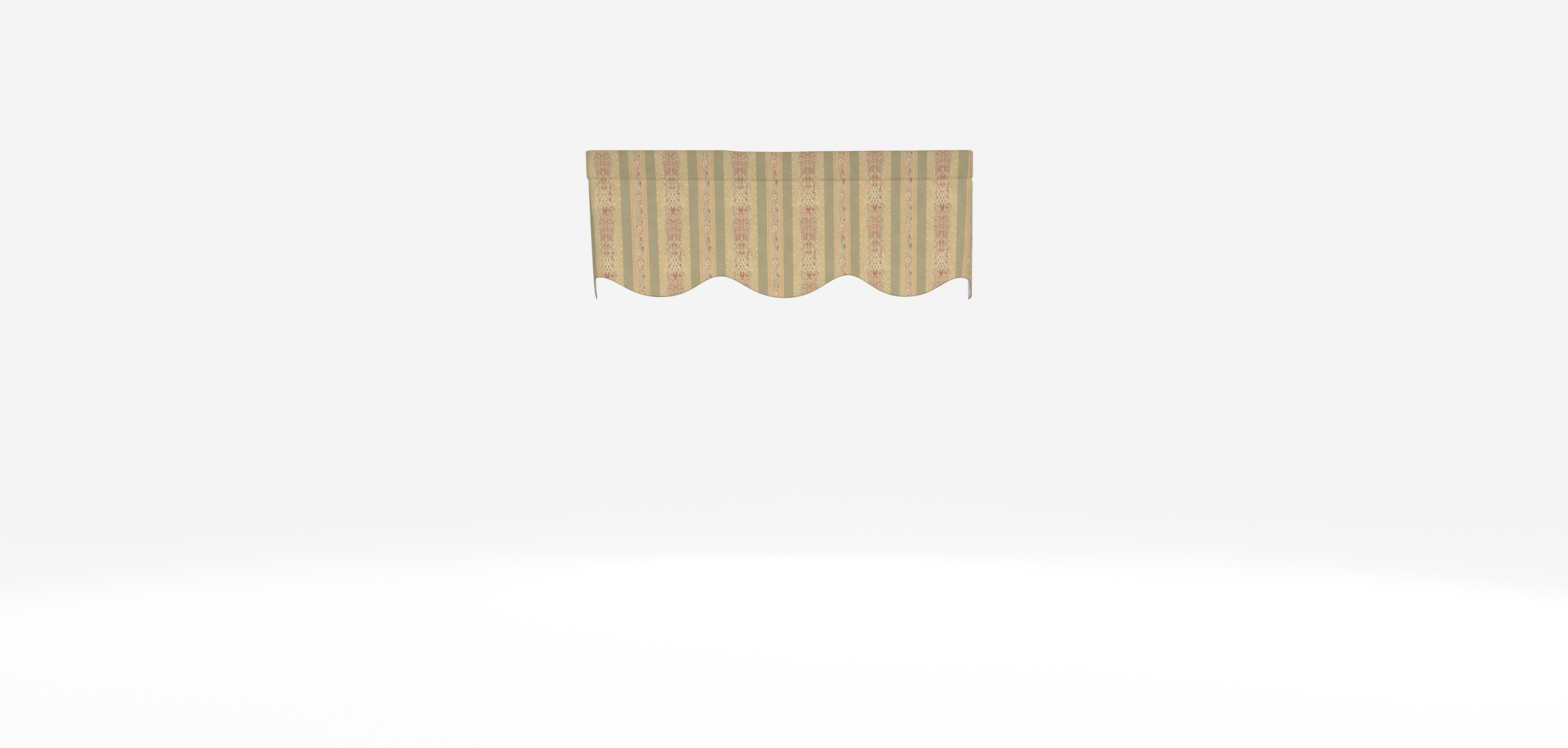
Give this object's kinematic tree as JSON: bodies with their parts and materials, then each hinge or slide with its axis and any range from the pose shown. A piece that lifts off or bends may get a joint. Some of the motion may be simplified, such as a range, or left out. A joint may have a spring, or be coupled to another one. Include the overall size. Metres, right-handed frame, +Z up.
{
  "type": "window valance",
  "caption": "Scalloped cloth window valance with a rod pocket and returns that wrap back to the wall, in a traditional floral stripe with a plain lining.",
  "frame": {"origin": "middle of the top edge, on the rolled top of the rod pocket", "axes": "+X along the front, to the right as seen from the room; +Y from the front towards the wall, along the returns; +Z up; the printed front faces -Y"},
  "size_m": [1.0221, 0.1637, 0.3854],
  "materials": {
    "printed_cotton": "matt twill, sage, tan and peach stripes with small flowers",
    "plain_cotton": "matt plain weave, ivory"
  },
  "bodies": {
    "root": {"face_cloth": "printed_cotton", "lining": "plain_cotton"}
  },
  "joints": []
}
